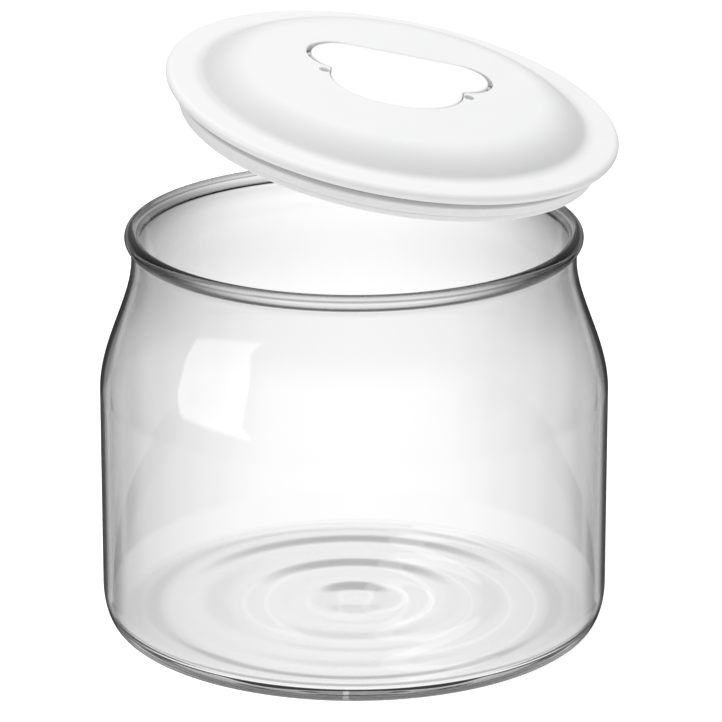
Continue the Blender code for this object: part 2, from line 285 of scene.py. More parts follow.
def resampled(outline, spacing):
    """The closed outline at even steps, with its corners eased a little."""
    closed = outline + outline[:1]
    lengths = [math.dist(a, b) for a, b in zip(closed, closed[1:])]
    total = sum(lengths)
    count = int(total / spacing)
    points, k, done = [], 0, 0.0
    for i in range(count):
        target = total * i / count
        while done + lengths[k] < target:
            done += lengths[k]
            k += 1
        share = (target - done) / lengths[k] if lengths[k] else 0.0
        a, b = closed[k], closed[k + 1]
        points.append((a[0] + (b[0] - a[0]) * share, a[1] + (b[1] - a[1]) * share))
    for _ in range(2):
        eased = []
        for i, p in enumerate(points):
            a, b = points[i - 1], points[(i + 1) % count]
            eased.append((p[0] / 2 + (a[0] + b[0]) / 4, p[1] / 2 + (a[1] + b[1]) / 4))
        points = eased
    return points


def grown(outline, distance):
    """The outline with every point moved outwards along its normal. It runs clockwise."""
    moved = []
    for i, p in enumerate(outline):
        a, b = outline[i - 1], outline[(i + 1) % len(outline)]
        tangent = (b[0] - a[0], b[1] - a[1])
        size = math.hypot(*tangent)
        moved.append((p[0] - tangent[1] / size * distance, p[1] + tangent[0] / size * distance))
    return moved


def mirrored(points):
    return [(-x, y) for x, y in reversed(points)]


def handle_outline(grow, stretch):
    """The handle's outline, grown all round, with its lobes moved outwards by stretch."""
    lobe = LOBE_RADIUS + grow
    side = FLAP_HALF_WIDTH + grow
    centre = LOBE_X + stretch
    inward = math.degrees(math.acos((side - centre) / lobe))
    right = arc((centre, LOBE_Y), (lobe, lobe), 90, -inward, 60)
    flap = arc((0.0, FLAP_Y), (side, FLAP_DEPTH + grow), 0, -180, 120)
    return resampled(right + flap + mirrored(right), OUTLINE_STEP)


def back_strip_outline(grow, stretch, front):
    """The part of the handle's outline behind a line that lies in front of the hinge."""
    lobe = LOBE_RADIUS + grow
    centre = LOBE_X + stretch
    cut_off = math.degrees(math.asin((HINGE_Y - front - LOBE_Y) / lobe))
    right = arc((centre, LOBE_Y), (lobe, lobe), 90, cut_off, 40)
    return resampled(right + mirrored(right), OUTLINE_STEP)


def smooth_step(share):
    return share * share * (3 - 2 * share)


# ---------------------------------------------------------------- pieces

def floor_height(radius):
    """Height of the inner floor: a low dome in the middle, then soft rings."""
    for (start, before), (end, after) in zip(FLOOR_WAVES, FLOOR_WAVES[1:]):
        if start <= radius < end:
            turn = math.pi * (radius - start) / (end - start)
            return FLOOR_THICKNESS + before + (after - before) * (1 - math.cos(turn)) / 2
    return FLOOR_THICKNESS


def shoulder(neck, body, count=44):
    """The soft S from the neck down to the body."""
    points = []
    for i in range(count):
        share = i / (count - 1)
        radius = neck + (body - neck) * smooth_step(share)
        points.append((radius, NECK_HEIGHT + (SHOULDER_HEIGHT - NECK_HEIGHT) * share))
    return points


def make_jar():
    inner_body = BODY_RADIUS - BODY_WALL
    inner_neck = NECK_RADIUS - NECK_WALL
    floor_edge = inner_body - FLOOR_CORNER_WIDTH
    corner_top = FLOOR_THICKNESS + FLOOR_CORNER_HEIGHT
    steps = int(floor_edge / FLOOR_STEP)
    profile = [(FLOOR_STEP * i, floor_height(FLOOR_STEP * i)) for i in range(steps)]
    for i in range(CORNER_STEPS + 1):
        t = i / CORNER_STEPS
        radius = inner_body - FLOOR_CORNER_WIDTH * (1 - t) ** 3
        profile.append((radius, FLOOR_THICKNESS + FLOOR_CORNER_HEIGHT * t ** 3))
    profile += line((inner_body, corner_top + WALL_RUN), (inner_body, SHOULDER_HEIGHT), 12)
    profile += reversed(shoulder(inner_neck, inner_body))
    profile += line((inner_neck, NECK_HEIGHT + NECK_RUN), (inner_neck, BEAD_HEIGHT - BEAD_RUN), 5)
    profile += arc((BEAD_RADIUS, BEAD_HEIGHT), (BEAD_HALF_WIDTH, BEAD_HALF_HEIGHT), 180, BEAD_END_ANGLE, 48)
    blend_start, blend_end = profile[-1], (NECK_RADIUS, NECK_HEIGHT)
    control = (NECK_RADIUS, blend_start[1] - BEAD_BLEND_DROP)
    for i in range(1, 10):
        t = i / 10
        radius = (1 - t) ** 2 * blend_start[0] + 2 * t * (1 - t) * control[0] + t * t * blend_end[0]
        height = (1 - t) ** 2 * blend_start[1] + 2 * t * (1 - t) * control[1] + t * t * blend_end[1]
        profile.append((radius, height))
    profile += shoulder(NECK_RADIUS, BODY_RADIUS)
    foot = (BODY_RADIUS - FOOT_CORNER[0], FOOT_CORNER[1])
    profile += line((BODY_RADIUS, SHOULDER_HEIGHT - WALL_RUN), (BODY_RADIUS, foot[1] + WALL_RUN), 12)
    profile += arc(foot, FOOT_CORNER, 0, -90, 36)
    profile += line((foot[0] - WALL_RUN, 0.0), (0.0, 0.0), 8)
    profile.append((0.0, 0.0))
    return lathe("jar_glass", profile, JAR_SEGMENTS)


def plateau_centres():
    """The centres of the plateau's two fillets, joined by a straight slope."""
    slope = math.radians(PLATEAU_SLOPE)
    rise = LID_TOP - FLANGE_HALF
    fillets = PLATEAU_SHOULDER_FILLET + PLATEAU_FOOT_FILLET
    straight = rise - fillets * (1 - math.cos(slope))
    run = fillets * math.sin(slope) + straight / math.tan(slope)
    shoulder_centre = (PLATEAU_FOOT_RADIUS - run, LID_TOP - PLATEAU_SHOULDER_FILLET)
    return shoulder_centre, (PLATEAU_FOOT_RADIUS, FLANGE_HALF + PLATEAU_FOOT_FILLET)


def cutter(name, outline, floor, rim, fillet=0.4, rounding=0.35):
    """A cutting solid whose floor edge is filleted and whose mouth flares round the rim it cuts."""
    flare, above = 76, 5.0
    rings = []
    for i in range(5):
        a = math.radians(90 * i / 4)
        rings.append((grown(outline, -fillet * (1 - math.sin(a))), floor + fillet * (1 - math.cos(a))))
    for i in range(5):
        a = math.radians(flare * i / 4)
        rings.append((grown(outline, rounding * (1 - math.cos(a))), rim - rounding + rounding * math.sin(a)))
    rings.append((rings[-1][0], rim + above))
    return loft(name, rings, LID)


def plain_prism(name, outline, bottom, top):
    return loft(name, [(outline, bottom), (outline, top)], LID)


def cover_shell():
    """The cover as turned, before the handle's recess is cut."""
    shoulder_centre, foot_centre = plateau_centres()
    outer, inner = PLATEAU_SHOULDER_FILLET, PLATEAU_SHOULDER_FILLET - SKIN
    skirt_inner = SKIRT_RADIUS - SKIRT_WALL
    edge = FLANGE_RADIUS - FLANGE_HALF
    slope = PLATEAU_SLOPE
    foot = PLATEAU_FOOT_FILLET
    profile = [(0.0, LID_TOP), (shoulder_centre[0] - PLATEAU_RUN, LID_TOP)]
    profile += arc(shoulder_centre, (outer, outer), 90, 90 - slope, 30)
    profile += arc(foot_centre, (foot, foot), 270 - slope, 270, 14)
    profile += [(foot_centre[0] + PLATEAU_RUN, FLANGE_HALF), (edge - FLANGE_RUN, FLANGE_HALF)]
    profile += arc((edge, 0.0), (FLANGE_HALF, FLANGE_HALF), 90, -90, 22)
    root = SKIRT_RADIUS + SKIRT_FILLET
    profile += [(edge - FLANGE_RUN, -FLANGE_HALF), (root, -FLANGE_HALF)]
    profile += arc((root, -FLANGE_HALF - SKIRT_FILLET), (SKIRT_FILLET, SKIRT_FILLET), 90, 180, 4)
    profile += [(SKIRT_RADIUS, SKIRT_BOTTOM), (skirt_inner, SKIRT_BOTTOM)]
    profile += [(skirt_inner, -FLANGE_HALF), (skirt_inner - HOLLOW_EDGE_INSET, HOLLOW_EDGE_HEIGHT)]
    profile += arc(shoulder_centre, (inner, inner), 90 - slope, 90, 12)
    profile.append((0.0, LID_TOP - SKIN))
    return lathe("lid_top_cover", profile, LID_SEGMENTS, LID)


def make_cover():
    cover = cover_shell()
    under_skin = LID_TOP - SKIN / 2
    end_shift = POCKET_END_SHIFT + TUB_END_WALL
    tub = handle_outline(POCKET_GAP + TUB_WALL, end_shift)
    apply_boolean(cover, plain_prism("tub", tub, POCKET_FLOOR - TUB_FLOOR, under_skin), "UNION")
    block = back_strip_outline(POCKET_GAP + TUB_WALL - TRENCH_STEP, end_shift, TRENCH_FRONT + TUB_WALL)
    block = plain_prism("block", block, TRENCH_FLOOR - TUB_FLOOR, under_skin - BLOCK_DROP)
    apply_boolean(cover, block, "UNION")
    pocket = handle_outline(POCKET_GAP, POCKET_END_SHIFT)
    apply_boolean(cover, cutter("pocket", pocket, POCKET_FLOOR, LID_TOP), "DIFFERENCE")
    trench = back_strip_outline(POCKET_GAP - TRENCH_STEP, POCKET_END_SHIFT, TRENCH_FRONT)
    trench = plain_prism("trench", trench, TRENCH_FLOOR, POCKET_FLOOR + OVERCUT)
    apply_boolean(cover, trench, "DIFFERENCE")
    for side in (-1.0, 1.0):
        ring = arc((side * NOTCH_X, NOTCH_Y), (NOTCH_RADIUS, NOTCH_RADIUS), 360, 360 / 48, 48)
        notch = cutter("notch", ring, NOTCH_FLOOR, LID_TOP, NOTCH_ROUND, NOTCH_ROUND)
        apply_boolean(cover, notch, "DIFFERENCE")
        start, end = LOBE_X + LOBE_RADIUS - OVERCUT, PIN_OUTER_X + PIN_END_GAP
        socket = rod("socket", PIN_HOLE_RADIUS, side * start, side * end, 32)
        apply_boolean(cover, socket, "DIFFERENCE")
    weight_normals(cover, sharp=30)
    return cover


def rod(name, radius, start, end, segments, chamfer=0.0):
    """A round rod along the hinge line, between two X positions on the lid."""
    low, high = min(start, end), max(start, end)
    profile = [(0.0, high), (radius - chamfer, high)]
    if chamfer:
        profile.append((radius, high - chamfer))
        profile.append((radius, low + chamfer))
        profile.append((radius - chamfer, low))
    else:
        profile.append((radius, low))
    profile.append((0.0, low))
    along_x = Matrix.Rotation(math.radians(90), 4, "Y")
    at_hinge = Matrix.Translation(Vector((0.0, HINGE_Y, LID_TOP - HINGE_BELOW_TOP)) * MM)
    return lathe(name, profile, segments, LID @ at_hinge @ along_x, sharp=40)


def make_handle():
    outline = handle_outline(HANDLE_GROWTH, HANDLE_END_SHIFT)
    bottom = LID_TOP - HANDLE_THICKNESS
    rings = [(grown(outline, -HANDLE_BOTTOM_ROUND - HANDLE_FACE_INSET), bottom)]
    for i in range(7):
        a = math.radians(90 * i / 6)
        inset = HANDLE_BOTTOM_ROUND * (1 - math.sin(a))
        rings.append((grown(outline, -inset), bottom + HANDLE_BOTTOM_ROUND * (1 - math.cos(a))))
    for i in range(9):
        a = math.radians(90 * i / 8)
        inset = HANDLE_TOP_ROUND * (1 - math.cos(a))
        rings.append((grown(outline, -inset), LID_TOP - HANDLE_TOP_ROUND * (1 - math.sin(a))))
    rings.append((grown(outline, -HANDLE_TOP_ROUND - HANDLE_FACE_INSET), LID_TOP))
    handle = loft("folding_handle", rings, LID)
    for side in (-1.0, 1.0):
        knuckle = rod("knuckle", KNUCKLE_RADIUS, side * KNUCKLE_INNER_X, side * KNUCKLE_OUTER_X, 48)
        apply_boolean(handle, knuckle, "UNION")
        start, end = PIN_INNER_X - PIN_END_GAP, LOBE_X + LOBE_RADIUS + 2 * OVERCUT
        bore = rod("bore", PIN_HOLE_RADIUS, side * start, side * end, 32)
        apply_boolean(handle, bore, "DIFFERENCE")
    weight_normals(handle, sharp=32)
    return handle


def make_plate():
    spigot_outer = SKIRT_RADIUS - SKIRT_WALL - FIT_GAP
    spigot_inner = spigot_outer - SPIGOT_WALL
    rim_top = PLATE_BOTTOM + PLATE_RIM_THICKNESS
    dish = PLATE_BOTTOM + PLATE_DISH_RISE
    lip = PLATE_LIP_RADIUS
    profile = [(0.0, dish + PLATE_DISH_THICKNESS), (PLATE_DISH_RADIUS, dish + PLATE_DISH_THICKNESS)]
    profile += [(PLATE_DISH_RADIUS + PLATE_DISH_RISE, rim_top), (spigot_inner, rim_top)]
    profile += [(spigot_inner, SPIGOT_TOP), (spigot_outer, SPIGOT_TOP), (spigot_outer, rim_top)]
    small, large = (PLATE_ROUND, PLATE_ROUND), (PLATE_LIP_ROUND, PLATE_LIP_ROUND)
    profile.append((lip - PLATE_ROUND, rim_top))
    profile += arc((lip - PLATE_ROUND, rim_top - PLATE_ROUND), small, 90, 0, 8)
    profile += arc((lip - PLATE_LIP_ROUND, PLATE_BOTTOM + PLATE_LIP_ROUND), large, 0, -90, 8)
    profile += arc((PLATE_DISH_RADIUS + PLATE_DISH_RISE, PLATE_BOTTOM + PLATE_ROUND), small, -90, -135, 5)
    profile += arc((PLATE_DISH_RADIUS, dish - PLATE_ROUND), small, 45, 90, 5)
    profile += line((PLATE_DISH_RADIUS - PLATE_RUN, dish), (0.0, dish), 4)
    profile.append((0.0, dish))
    return lathe("lid_inner_dish", profile, LID_SEGMENTS, LID, sharp=32)


def make_seal():
    """A flat inner band with round ribs outside, each a little narrower than the one above."""
    inner = SKIRT_RADIUS + FIT_GAP
    pitch = (SEAL_TOP - SEAL_BOTTOM) / SEAL_RIBS
    profile = [(inner, SEAL_TOP)]
    for i in range(SEAL_RIBS):
        crest = SEAL_TOP_RIB + (SEAL_BOTTOM_RIB - SEAL_TOP_RIB) * i / (SEAL_RIBS - 1)
        for k in range(SEAL_STEPS + 1 if i == SEAL_RIBS - 1 else SEAL_STEPS):
            share = k / SEAL_STEPS
            bulge = 1 - abs(2 * share - 1) ** 3
            profile.append((crest - SEAL_GROOVE * (1 - bulge), SEAL_TOP - pitch * (i + share)))
    profile.append((inner, SEAL_BOTTOM))
    return lathe("ribbed_seal", profile, LID_SEGMENTS, LID, sharp=45)


# ---------------------------------------------------------------- materials

# Heights, radii and softness are in metres. A pair is where an effect starts and where it is full. Facing
# is 0 where a surface is seen square on and 1 where it is seen edge on.
# A grey is painted shade, the share of light lost from the glass's colour.
SIDE_FACING = (0.0, 0.6)
NECK_GREY = 0.25
NECK_SPAN = (0.056, 0.088)
MOUTH_GREY = 0.25
BELOW_RIM_GREY = 0.4
BELOW_RIM_SPAN = (0.092, 0.0995)
FRONT_GREY = 0.17
FRONT_SPAN = (0.080, 0.092)
FOOT_GREY = 0.7
FOOT_SPAN = (0.012, 0.008)
FOOT_TILT = (-0.30, -0.44)
EDGE_GREY = 0.95
EDGE_FACING = (0.68, 0.84)
RING_GREY = 0.08
# Painted dark rings over the floor's rings, as (inner radius, outer radius, softness), and the heights
# between which they lie.
RINGS = ((0.004, 0.012, 0.003), (0.024, 0.031, 0.004), (0.043, 0.049, 0.004))
RING_HEIGHTS = (0.002, 0.0042, 0.0003)
BEAD_GREY = 0.06
BEAD_EDGE_GREY = 0.88
BEAD_INNER_EASE = 0.6
BEAD_FACING = (0.04, 0.4)
BEAD_SPAN = (0.1008, 0.1024)
GLASS_IOR = 1.5
GLASS_PASS = 0.985
# Faint cloudiness, as (spread, lowest) brightness.
GLASS_CLOUD = (0.006, 0.992)
SILICONE_CLOUD = (0.02, 0.88)
# Past this many bounces a ray counts as caught inside the glass.
CAUGHT_DEPTH = 7.5
# The thick inner corner between wall and floor, up to which the normal points up or sideways.
CORNER_RADII = (0.0565, 0.061)
CORNER_HEIGHTS = (0.0112, 0.0092)
CORNER_TILT = -0.01

# Painted shade, darkening the colour: the soft valley round the plateau, the recess under the flange and the
# top of the plug seal.
VALLEY_SHADE = 0.2
VALLEY_RISE = (0.036, 0.0485)
VALLEY_FALL = (0.0525, 0.0485)
VALLEY_ABOVE = 0.001
UNDERCUT_SHADE = 0.6
UNDERCUT_SPAN = (-0.0012, -0.0016)
SEAL_TOP_SHADE = 0.4
SEAL_TOP_SPAN = (-0.0041, -0.0031)

SATIN_WHITE = (0.88, 0.88, 0.88)
SATIN_CLOUD = (0.865, 0.867, 0.87)
BRIGHT_WHITE = (0.97, 0.97, 0.97)
BRIGHT_CLOUD = (0.96, 0.96, 0.96)
STEEL = (0.62, 0.62, 0.63)
PLASTIC_IOR = 1.49


def node(tree, kind, **values):
    made = tree.nodes.new(kind)
    for name, value in values.items():
        setattr(made, name, value)
    return made


def calc(tree, operation, *inputs):
    """A math node's output. Each input is a number or another node's socket."""
    made = node(tree, "ShaderNodeMath", operation=operation)
    for socket, value in zip(made.inputs, inputs):
        if isinstance(value, (int, float)):
            socket.default_value = value
        else:
            tree.links.new(value, socket)
    return made.outputs[0]


def product(tree, first, *others):
    for other in others:
        first = calc(tree, "MULTIPLY", first, other)
    return first


def rest_of(tree, share):
    """What a share leaves of 1."""
    return calc(tree, "SUBTRACT", 1.0, share)


def ramp_between(tree, value, low, high):
    """0 below low and 1 above high, with a smooth rise. A low above high turns it round."""
    made = node(tree, "ShaderNodeMapRange", interpolation_type="SMOOTHSTEP")
    tree.links.new(value, made.inputs["Value"])
    made.inputs["From Min"].default_value = low
    made.inputs["From Max"].default_value = high
    return made.outputs["Result"]


def inside(tree, value, low, high, soft):
    """1 between low and high, with soft edges."""
    rising = ramp_between(tree, value, low - soft, low + soft)
    falling = ramp_between(tree, value, high + soft, high - soft)
    return product(tree, rising, falling)


def split(tree, vector):
    """The three parts of a vector."""
    parts = node(tree, "ShaderNodeSeparateXYZ")
    tree.links.new(vector, parts.inputs[0])
    return parts.outputs


def from_axis(tree, parts):
    """The distance from the Z axis."""
    squares = [product(tree, parts[k], parts[k]) for k in (0, 1)]
    return calc(tree, "SQRT", calc(tree, "ADD", *squares))


def grey(tree, tone):
    colour = node(tree, "ShaderNodeCombineColor")
    for socket in colour.inputs[:3]:
        tree.links.new(tone, socket)
    return colour.outputs[0]


def new_material(name):
    material = bpy.data.materials.new(name)
    material.use_nodes = True
    return material, material.node_tree, material.node_tree.nodes["Principled BSDF"]


def noise(tree, scale, detail=2.0, roughness=0.5):
    place = node(tree, "ShaderNodeTexCoord")
    made = node(tree, "ShaderNodeTexNoise")
    tree.links.new(place.outputs["Object"], made.inputs["Vector"])
    made.inputs["Scale"].default_value = scale
    made.inputs["Detail"].default_value = detail
    made.inputs["Roughness"].default_value = roughness
    return made.outputs["Fac"]


def uneven_gloss(tree, shader, scale, spread, lowest):
    gloss = calc(tree, "MULTIPLY_ADD", noise(tree, scale), spread, lowest)
    tree.links.new(gloss, shader.inputs["Roughness"])


def add_bump(tree, shader, height, distance):
    bump = node(tree, "ShaderNodeBump")
    bump.inputs["Strength"].default_value = 1.0
    bump.inputs["Distance"].default_value = distance
    tree.links.new(height, bump.inputs["Height"])
    tree.links.new(bump.outputs["Normal"], shader.inputs["Normal"])


def painted_lid_shade(tree, colour):
    """Paints shade into the colour: darkens the soft valley round the plateau and the recess under the
    flange.
    """
    place = node(tree, "ShaderNodeTexCoord")
    parts = split(tree, place.outputs["Object"])
    radius = from_axis(tree, parts)
    rising = ramp_between(tree, radius, *VALLEY_RISE)
    falling = ramp_between(tree, radius, *VALLEY_FALL)
    above = calc(tree, "GREATER_THAN", parts[2], VALLEY_ABOVE)
    valley = product(tree, rising, falling, above, VALLEY_SHADE)
    under = product(tree, ramp_between(tree, parts[2], *UNDERCUT_SPAN), UNDERCUT_SHADE)
    # Painted shade: the base colour is mixed towards black in the valley and under the flange.
    painted_shade_mix = node(tree, "ShaderNodeMix", data_type="RGBA")
    painted_shade_mix.inputs["B"].default_value = (0.0, 0.0, 0.0, 1.0)
    tree.links.new(colour, painted_shade_mix.inputs["A"])
    tree.links.new(calc(tree, "MAXIMUM", valley, under), painted_shade_mix.inputs["Factor"])
    return painted_shade_mix.outputs["Result"]


def plastic(name, colour, cloud, roughness, grain, with_painted_shade=False):
    """Moulded satin plastic: a fine grain, faint cloudiness and uneven gloss, and, if asked, painted shade
    in the lid's valley and under its flange.
    """
    material, tree, shader = new_material(name)
    mix = node(tree, "ShaderNodeMix", data_type="RGBA")
    mix.inputs["A"].default_value = (*colour, 1.0)
    mix.inputs["B"].default_value = (*cloud, 1.0)
    patches = noise(tree, scale=45.0, detail=3.0)
    tree.links.new(ramp_between(tree, patches, low=0.35, high=0.75), mix.inputs["Factor"])
    # Painted shade, if asked: the lid's valley and flange recess are darkened in the colour.
    result = painted_lid_shade(tree, mix.outputs["Result"]) if with_painted_shade else mix.outputs["Result"]
    tree.links.new(result, shader.inputs["Base Color"])
    uneven_gloss(tree, shader, scale=120.0, spread=0.10, lowest=roughness - 0.05)
    shader.inputs["IOR"].default_value = PLASTIC_IOR
    add_bump(tree, shader, noise(tree, scale=2600.0), distance=grain)
    return material


def on_inner_side(tree, parts, normal):
    """1 where the surface faces the jar's axis."""
    flat = node(tree, "ShaderNodeCombineXYZ")
    tree.links.new(parts[0], flat.inputs[0])
    tree.links.new(parts[1], flat.inputs[1])
    across = node(tree, "ShaderNodeVectorMath", operation="DOT_PRODUCT")
    tree.links.new(flat.outputs[0], across.inputs[0])
    tree.links.new(normal, across.inputs[1])
    return calc(tree, "LESS_THAN", across.outputs["Value"], 0.0)


def glass_painted_grey(tree):
    """Nearly clear, with painted shade: greyer where thick or curved glass gathers the dark sides of the
    room, added to the real reflections of the room.
    """
    place = node(tree, "ShaderNodeTexCoord")
    parts = split(tree, place.outputs["Object"])
    height = parts[2]
    layer = node(tree, "ShaderNodeLayerWeight")
    layer.inputs["Blend"].default_value = 0.5
    facing = layer.outputs["Facing"]
    camera = node(tree, "ShaderNodeLightPath").outputs["Is Camera Ray"]
    side = ramp_between(tree, facing, *SIDE_FACING)
    inner = on_inner_side(tree, parts, place.outputs["Normal"])
    outer = rest_of(tree, inner)
    # Painted shade on the neck's sides, more so on the far wall seen straight through the mouth, most of all
    # under the rim.
    seen_inside = product(tree, inner, camera)
    neck_grey = calc(tree, "MULTIPLY_ADD", seen_inside, MOUTH_GREY, NECK_GREY)
    neck = product(tree, ramp_between(tree, height, *NECK_SPAN), side, neck_grey)
    under_rim = product(tree, ramp_between(tree, height, *BELOW_RIM_SPAN), side, seen_inside, BELOW_RIM_GREY)
    # Painted shade on the outside of the neck, the underside of the foot's rounding and the glass seen edge
    # on.
    front = product(tree, outer, camera, ramp_between(tree, height, *FRONT_SPAN), FRONT_GREY)
    tilt = split(tree, place.outputs["Normal"])[2]
    foot = product(tree, ramp_between(tree, tilt, *FOOT_TILT), ramp_between(tree, height, *FOOT_SPAN))
    foot = product(tree, foot, camera, FOOT_GREY)
    edge = product(tree, ramp_between(tree, facing, *EDGE_FACING), EDGE_GREY, outer)
    painted_losses = [neck, under_rim, front, foot, edge]
    # Painted dark rings over the rings of the inner floor.
    radius = from_axis(tree, parts)
    floor = product(tree, inside(tree, height, *RING_HEIGHTS), RING_GREY)
    painted_losses += [product(tree, inside(tree, radius, *ring), floor) for ring in RINGS]
    # Painted shade on the bead, less on its inner side.
    bead = ramp_between(tree, facing, *BEAD_FACING)
    bead = product(tree, bead, rest_of(tree, product(tree, inner, BEAD_INNER_EASE)))
    bead = calc(tree, "MULTIPLY_ADD", bead, BEAD_EDGE_GREY, BEAD_GREY)
    painted_losses.append(product(tree, ramp_between(tree, height, *BEAD_SPAN), bead))
    clear = product(tree, *[rest_of(tree, loss) for loss in painted_losses])
    cloud = calc(tree, "MULTIPLY_ADD", noise(tree, scale=30.0), *GLASS_CLOUD)
    return grey(tree, product(tree, clear, cloud))


def left_clear(tree, path):
    """The thick corner of the far wall, seen from inside the jar, is left clear: a ray that goes straight
    in there goes straight out too."""
    place = node(tree, "ShaderNodeTexCoord")
    parts = split(tree, place.outputs["Object"])
    outward = ramp_between(tree, from_axis(tree, parts), *CORNER_RADII)
    low = ramp_between(tree, parts[2], *CORNER_HEIGHTS)
    upward = calc(tree, "GREATER_THAN", split(tree, place.outputs["Normal"])[2], CORNER_TILT)
    geometry = node(tree, "ShaderNodeNewGeometry")
    other = calc(tree, "MAXIMUM", geometry.outputs["Backfacing"], path.outputs["Is Camera Ray"])
    corner = product(tree, product(tree, outward, low), product(tree, upward, rest_of(tree, other)))
    leaving = calc(tree, "COMPARE", path.outputs["Transparent Depth"], 1.0, 0.1)
    return calc(tree, "MAXIMUM", corner, leaving)


def glass_material():
    material, tree, shader = new_material("clear_glass")
    # Painted shade: the glass's colour carries painted grey at the neck, rim, foot, edges, floor rings and
    # bead.
    painted_shade_colour = glass_painted_grey(tree)
    tree.links.new(painted_shade_colour, shader.inputs["Base Color"])
    tree.links.new(painted_shade_colour, shader.inputs["Specular Tint"])
    shader.inputs["Transmission Weight"].default_value = 1.0
    shader.inputs["Roughness"].default_value = 0.0
    shader.inputs["IOR"].default_value = GLASS_IOR
    clear = node(tree, "ShaderNodeBsdfTransparent")
    clear.inputs["Color"].default_value = (GLASS_PASS, GLASS_PASS, GLASS_PASS, 1.0)
    path = node(tree, "ShaderNodeLightPath")
    passing = calc(tree, "MAXIMUM", path.outputs["Is Shadow Ray"], path.outputs["Is Diffuse Ray"])
    # A ray caught inside the rounded glass goes straight on after a few bounces instead of going dark.
    caught = calc(tree, "GREATER_THAN", path.outputs["Ray Depth"], CAUGHT_DEPTH)
    passing = calc(tree, "MAXIMUM", passing, caught)
    passing = calc(tree, "MAXIMUM", passing, left_clear(tree, path))
    mixed = choose(tree, passing, shader.outputs[0], clear.outputs[0])
    tree.links.new(mixed, tree.nodes["Material Output"].inputs["Surface"])
    return material


def silicone_material():
    material, tree, shader = new_material("milky_silicone_painted_shade")
    place = node(tree, "ShaderNodeTexCoord")
    height = split(tree, place.outputs["Object"])[2]
    # Painted shade: the seal's top, in the crevice under the flange, is darkened in its colour.
    shade = product(tree, ramp_between(tree, height, *SEAL_TOP_SPAN), SEAL_TOP_SHADE)
    cloud = calc(tree, "MULTIPLY_ADD", noise(tree, scale=60.0, detail=3.0), *SILICONE_CLOUD)
    tone = product(tree, cloud, rest_of(tree, shade))
    tree.links.new(grey(tree, tone), shader.inputs["Base Color"])
    uneven_gloss(tree, shader, scale=200.0, spread=0.12, lowest=0.36)
    add_bump(tree, shader, noise(tree, scale=1500.0, detail=3.0), distance=0.00002)
    return material


def steel_material():
    material, tree, shader = new_material("pin_steel")
    shader.inputs["Base Color"].default_value = (*STEEL, 1.0)
    shader.inputs["Metallic"].default_value = 1.0
    uneven_gloss(tree, shader, scale=900.0, spread=0.2, lowest=0.18)
    add_bump(tree, shader, noise(tree, scale=3000.0), distance=0.00001)
    return material


# ---------------------------------------------------------------- studio

# The camera, in metres and radians.
CAMERA_PITCH = 0.32791575
CAMERA_DISTANCE = 1.266882
CAMERA_SIDE = 0.0018
CAMERA_AIM_HEIGHT = 0.0692886
CAMERA_LENS = 243.35
AMBIENT = 0.62

# What glass and gloss see of the studio, as (degrees, brightness). Around the horizon, by compass angle
# from the camera's own heading: a bright panel behind the object, dark flags beside it and a pale room
# behind the camera.
AROUND = (
    (0, 1.03), (1.8, 1.0), (2.4, 0.97), (3.2, 0.91), (4.2, 0.85), (5.8, 0.755), (9.6, 0.55),
    (14.0, 0.55), (17.5, 0.57), (21.0, 0.61), (26.0, 0.56), (33.0, 0.15), (42.0, 0.12),
    (52.0, 0.32), (74.0, 0.4), (91.0, 0.5), (106.0, 0.6), (132.0, 0.85), (150.0, 1.0), (180.0, 1.0),
)
# The same for light glancing off or along a single wall, which draws the dark outline. Such light has met
# the glass this many times.
OUTLINE = ((0, 0.05), (15, 0.07), (19, 0.09), (23, 0.2), (26, 0.6), (30, 0.65))
OUTLINE_END = 36.0
OUTLINE_DEPTHS = (2.0, 4.0)
# By angle above the horizon: the white table, the foot of the panel, the dim room and the ceiling.
UPWARD = (
    (-90, 0.95), (-35, 0.95), (-31, 0.48), (-26.8, 0.48), (-23.4, 1.0), (-17.5, 1.0), (-15, 0.87),
    (-12.5, 1.0), (-2, 0.75), (4, 0.7), (12, 0.35), (28, 0.4), (45, 0.95), (90, 1.0),
)
# Below the first angle the table covers the panel and flags, and above the second the room does.
TABLE_SPAN = (-25.0, -31.0)
ROOM_SPAN = (-12.0, 6.0)
# Behind the camera the room is as pale as the panel.
BEHIND_SIDES = (110.0, 150.0)
BEHIND_HEIGHTS = (-12.0, -2.0)
# Light that has wandered about inside the glass sees an even studio at low angles.
WANDERED_DEPTH = 5.5
QUIET_LIGHT = 0.93
QUIET_SPAN = (6.0, 0.0)
# A soft box and a strip light, as (side, side, softness) and (height, height, softness) in degrees.
WINDOW_LIGHT = 3.4
WINDOW_DEPTH = 3.5
WINDOW_SIDES = (-128.5, -91.5, 1.2)
WINDOW_HEIGHTS = (2.5, 32.0, 2.0)
WINDOW_LEAN = 0.9
WINDOW_LEAN_BELOW = 9.0
STRIP_LIGHT = 0.5
STRIP_SIDES = (0.82, 1.76, 0.06)
STRIP_HEIGHTS = (8.0, 34.0, 2.0)

# The floor, in millimetres, and the lamp above it, in metres.
STUDIO_FLOOR_TOP = -0.4
STUDIO_FLOOR_BOTTOM = -20.0
STUDIO_FLOOR_RADIUS = 4000.0
STUDIO_FLOOR_TONE = 0.85
STUDIO_FLOOR_GLOW = 0.15
STUDIO_FLOOR_SEEN_GLOW = 0.30
KEY_PLACE = (-0.2, 0.1, 1.7)
KEY_AIM = (0.0, 0.0, 0.1)
KEY_SIZE = 0.9
KEY_POWER = 14.0


def stepped_curve(tree, value, points):
    """The sum of smooth steps that runs through (value, result) points."""
    total = points[0][1]
    for (start, before), (end, after) in zip(points, points[1:]):
        if after != before:
            step = ramp_between(tree, value, start, end)
            total = calc(tree, "MULTIPLY_ADD", step, after - before, total)
    return total


